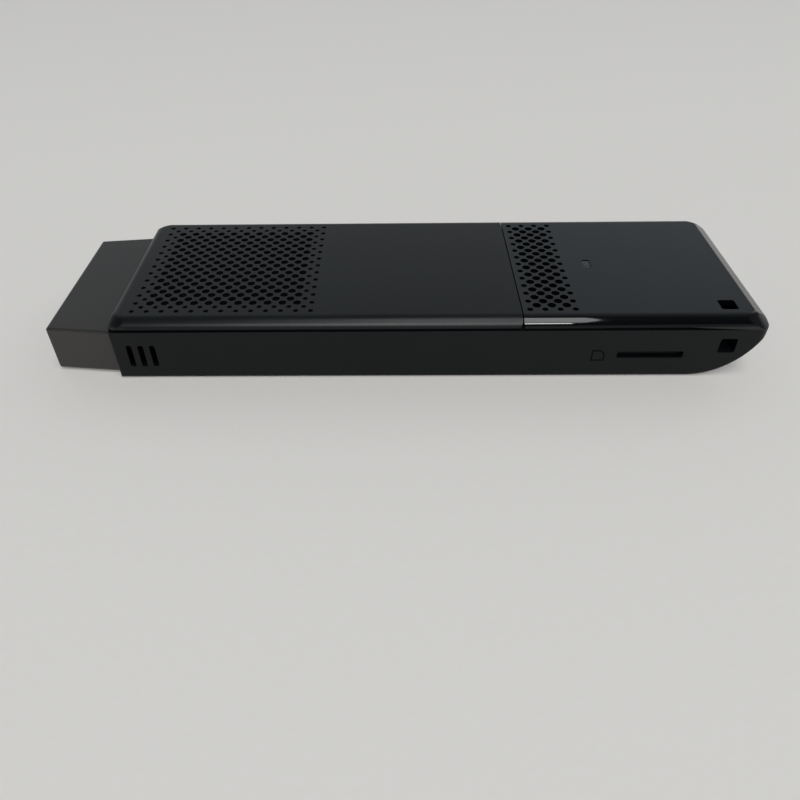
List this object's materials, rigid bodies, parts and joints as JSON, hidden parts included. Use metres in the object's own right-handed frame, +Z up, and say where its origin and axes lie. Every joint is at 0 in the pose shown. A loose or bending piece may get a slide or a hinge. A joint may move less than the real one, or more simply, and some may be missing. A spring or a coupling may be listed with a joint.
{
  "type": "stick computer",
  "caption": "Flat stick computer with a capped video plug, perforated top covers, a card slot, side ports, a lanyard loop and an inner blower fan.",
  "frame": {"origin": "on the underside, below the middle of the whole length and of the housing's width", "axes": "+X from the plug towards the tail, +Y towards the side with the ports, +Z up through the grilles"},
  "size_m": [0.1256, 0.0384, 0.012],
  "materials": {
    "shell_plastic": "moulded, fine texture, near black",
    "cover_plastic": "moulded, satin, near black",
    "gloss_cover": "moulded, piano gloss, near black",
    "cap_plastic": "moulded, smoke grey, slightly translucent",
    "clear_plastic": "clear moulding",
    "led_resin": "diffusing resin",
    "button_plastic": "moulded, satin",
    "white_nylon": "moulded nylon",
    "black_nylon": "moulded nylon",
    "blue_nylon": "moulded nylon, blue",
    "board_laminate": "solder mask",
    "screw_steel": "plated steel",
    "port_steel": "nickel plated sheet",
    "coated_sheet": "sheet with a black coating",
    "contact_gold": "gold plated",
    "copper": "bare copper",
    "pad_silicone": "soft pad",
    "chip_epoxy": "moulded epoxy",
    "ferrite": "pressed ferrite",
    "bronze": "turned"
  },
  "bodies": {
    "case": {"bottom_shell": "shell_plastic", "top_cover": "cover_plastic", "end_cover": "gloss_cover", "light_pipe": "clear_plastic", "status_led": "led_resin", "power_switch": "black_nylon", "video_plug_core": "black_nylon", "data_port_tongue": "black_nylon", "power_inlet_tongue": "black_nylon", "card_socket_base": "black_nylon", "fan_frame": "black_nylon", "fast_port_tongue": "blue_nylon", "circuit_board": "board_laminate", "board_screws": "screw_steel", "fan_screws": "screw_steel", "card_spring": "screw_steel", "video_plug_shell": "port_steel", "fast_port_shell": "port_steel", "data_port_shell": "port_steel", "power_inlet_shell": "port_steel", "card_socket_cover": "port_steel", "shield_can": "port_steel", "wireless_module": "port_steel", "fan_lid": "coated_sheet", "video_plug_contacts": "contact_gold", "fast_port_contacts": "contact_gold", "data_port_contacts": "contact_gold", "power_inlet_contacts": "contact_gold", "card_contacts": "contact_gold", "heat_sink": "copper", "antenna_films": "copper", "fan_stator": "copper", "thermal_pad": "pad_silicone", "processor": "chip_epoxy", "memory_chips": "chip_epoxy", "storage_chip": "chip_epoxy", "power_coils": "ferrite", "fan_bearing": "bronze", "fan_standoffs": "bronze"},
    "cap": {"plug_cap": "cap_plastic"},
    "button": {"power_button": "button_plastic", "switch_plunger": "white_nylon"},
    "impeller": {"fan_rotor": "black_nylon", "fan_magnet": "ferrite", "fan_shaft": "screw_steel"},
    "slider": {"card_slider": "white_nylon"}
  },
  "joints": [
    {"name": "cap_pull", "type": "slide", "parent": "case", "child": "cap", "axis": [-1, 0, 0], "range_m": [0, 0.016]},
    {"name": "button_press", "type": "slide", "parent": "case", "child": "button", "axis": [0, -1, 0], "range_m": [0, 0.0003], "stiffness_N_per_m": 2000},
    {"name": "fan_spin", "type": "hinge", "parent": "case", "child": "impeller", "pos_m": [-0.0275, 0, 0.0085], "axis": [0, 0, 1], "continuous": true},
    {"name": "card_push", "type": "slide", "parent": "case", "child": "slider", "axis": [0, 1, 0], "range_m": [0, 0.0012], "stiffness_N_per_m": 200, "deforming": ["card_spring"]}
  ]
}
